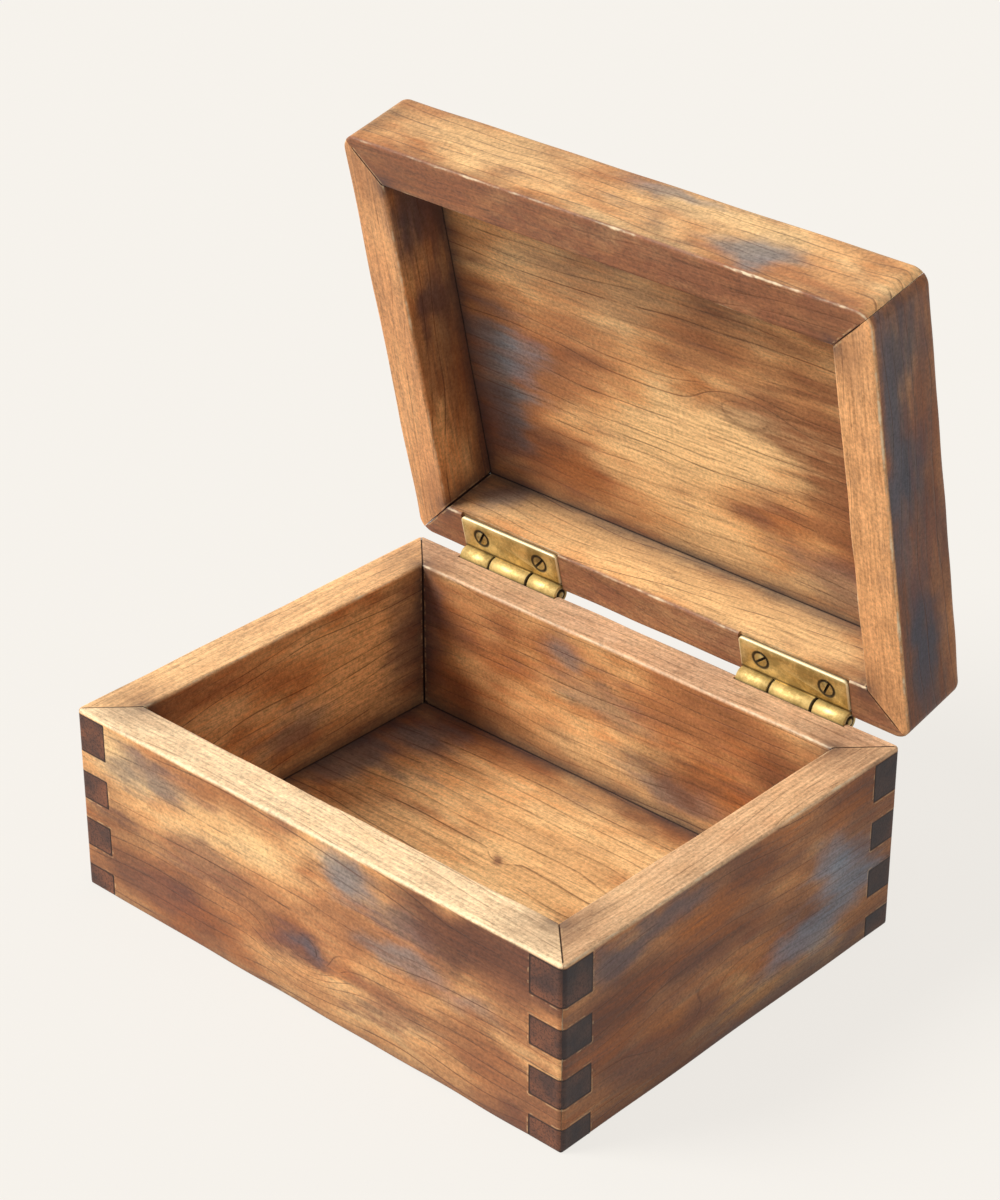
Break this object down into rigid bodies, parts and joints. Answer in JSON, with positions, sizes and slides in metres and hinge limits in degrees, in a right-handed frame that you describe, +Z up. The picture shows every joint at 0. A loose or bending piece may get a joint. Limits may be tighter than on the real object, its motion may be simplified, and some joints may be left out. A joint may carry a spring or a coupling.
{
  "type": "hinged wooden box",
  "caption": "Rectangular hardwood box with dark-keyed mitred corners and a deep framed lid that stands open on brass butt hinges along the back.",
  "frame": {"origin": "centre of the underside of the box's base, on the surface it stands on", "axes": "+X to the right along the front, +Y to the hinged back, +Z up"},
  "size_m": [0.183, 0.1636, 0.2],
  "materials": {
    "board_wood": "oiled, worn satin",
    "side_wood": "oiled, worn satin",
    "floor_wood": "oiled, worn satin",
    "key_wood": "oiled, worn satin",
    "lid_wood": "oiled, worn satin",
    "panel_wood": "oiled, worn satin",
    "hinge_brass": "aged, lightly polished",
    "screw_brass": "aged"
  },
  "bodies": {
    "base": {"board_front": "board_wood", "board_back": "board_wood", "board_left": "side_wood", "board_right": "side_wood", "bottom_board": "floor_wood", "key_front_left_1": "key_wood", "key_front_left_2": "key_wood", "key_front_left_3": "key_wood", "key_front_left_4": "key_wood", "key_front_right_1": "key_wood", "key_front_right_2": "key_wood", "key_front_right_3": "key_wood", "key_front_right_4": "key_wood", "key_back_left_1": "key_wood", "key_back_left_2": "key_wood", "key_back_left_3": "key_wood", "key_back_left_4": "key_wood", "key_back_right_1": "key_wood", "key_back_right_2": "key_wood", "key_back_right_3": "key_wood", "key_back_right_4": "key_wood", "hinge_leaf_base_left": "hinge_brass", "hinge_leaf_base_right": "hinge_brass", "hinge_pin_left": "screw_brass", "hinge_pin_right": "screw_brass", "screw_base_left_1": "screw_brass", "screw_base_left_2": "screw_brass", "screw_base_right_1": "screw_brass", "screw_base_right_2": "screw_brass"},
    "lid": {"lid_rail_front": "lid_wood", "lid_rail_back": "lid_wood", "lid_stile_left": "lid_wood", "lid_stile_right": "lid_wood", "lid_panel": "panel_wood", "hinge_leaf_lid_left": "hinge_brass", "hinge_leaf_lid_right": "hinge_brass", "screw_lid_left_1": "screw_brass", "screw_lid_left_2": "screw_brass", "screw_lid_right_1": "screw_brass", "screw_lid_right_2": "screw_brass"}
  },
  "joints": [
    {"name": "lid_hinge", "type": "hinge", "parent": "base", "child": "lid", "pos_m": [0, 0.0699, 0.0578], "axis": [1, 0, 0], "range_deg": [-102.5, 77.5]}
  ]
}
